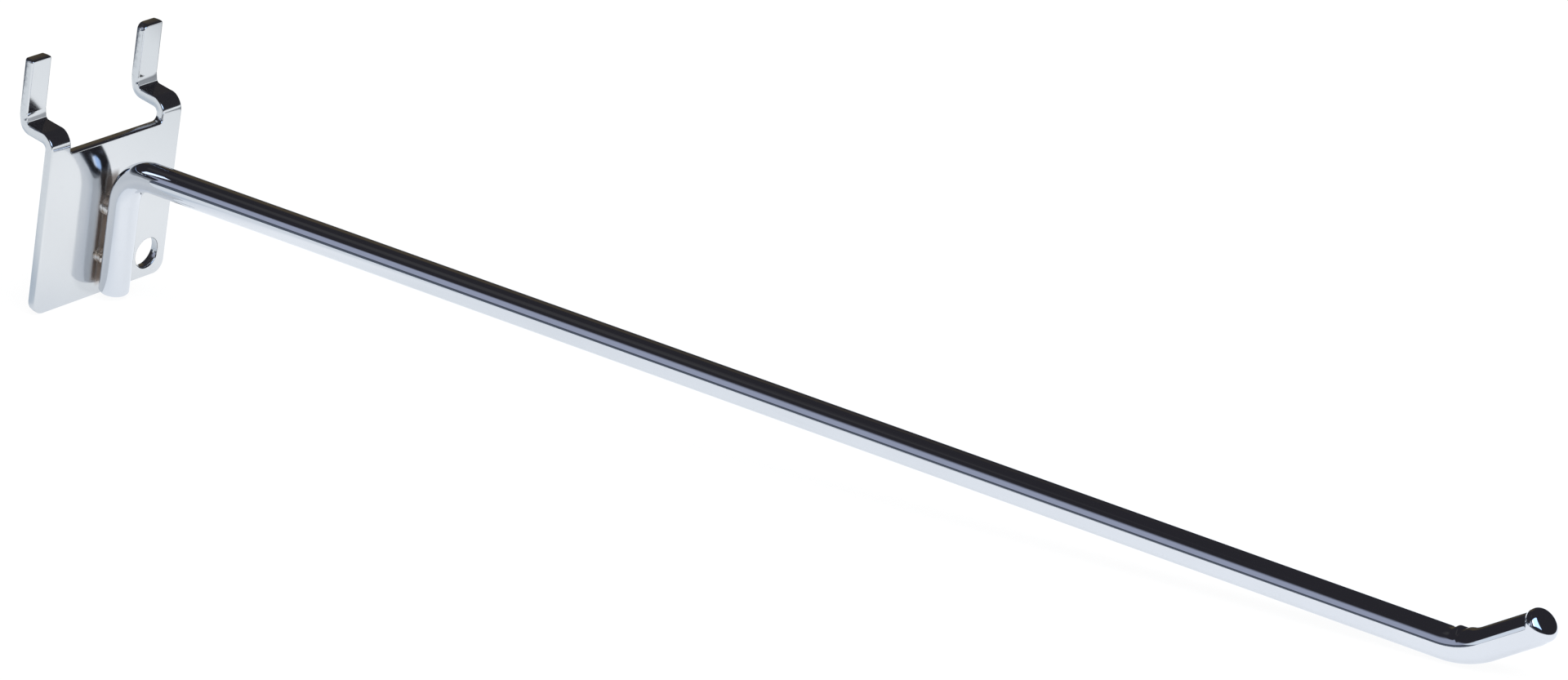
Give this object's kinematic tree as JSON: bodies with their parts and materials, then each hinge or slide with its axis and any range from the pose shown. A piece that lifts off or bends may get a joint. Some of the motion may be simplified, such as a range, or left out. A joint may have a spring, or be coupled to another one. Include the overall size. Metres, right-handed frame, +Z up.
{
  "type": "peg hook",
  "caption": "Chrome-plated display hook for perforated board: stamped plate with joggled prongs and a welded round wire arm with an upturned tip.",
  "frame": {"origin": "middle of the plate's flat back face, the face that lies against the board", "axes": "+Z up as the hook hangs, -Y out of the board towards the tip of the arm, +Y into the board, +X to the right of a person who looks at the hook from the front along +Y"},
  "size_m": [0.0298, 0.2732, 0.0635],
  "materials": {
    "plated_sheet": "bright chrome plate over stamped steel sheet, polished, soft edges",
    "plated_wire": "bright chrome plate over drawn steel wire, polished",
    "plated_weld": "thin chrome plate over rough weld metal, with brownish recesses"
  },
  "bodies": {
    "root": {"bracket": "plated_sheet", "wire_hook": "plated_wire", "weld_nuggets": "plated_weld"}
  },
  "joints": []
}
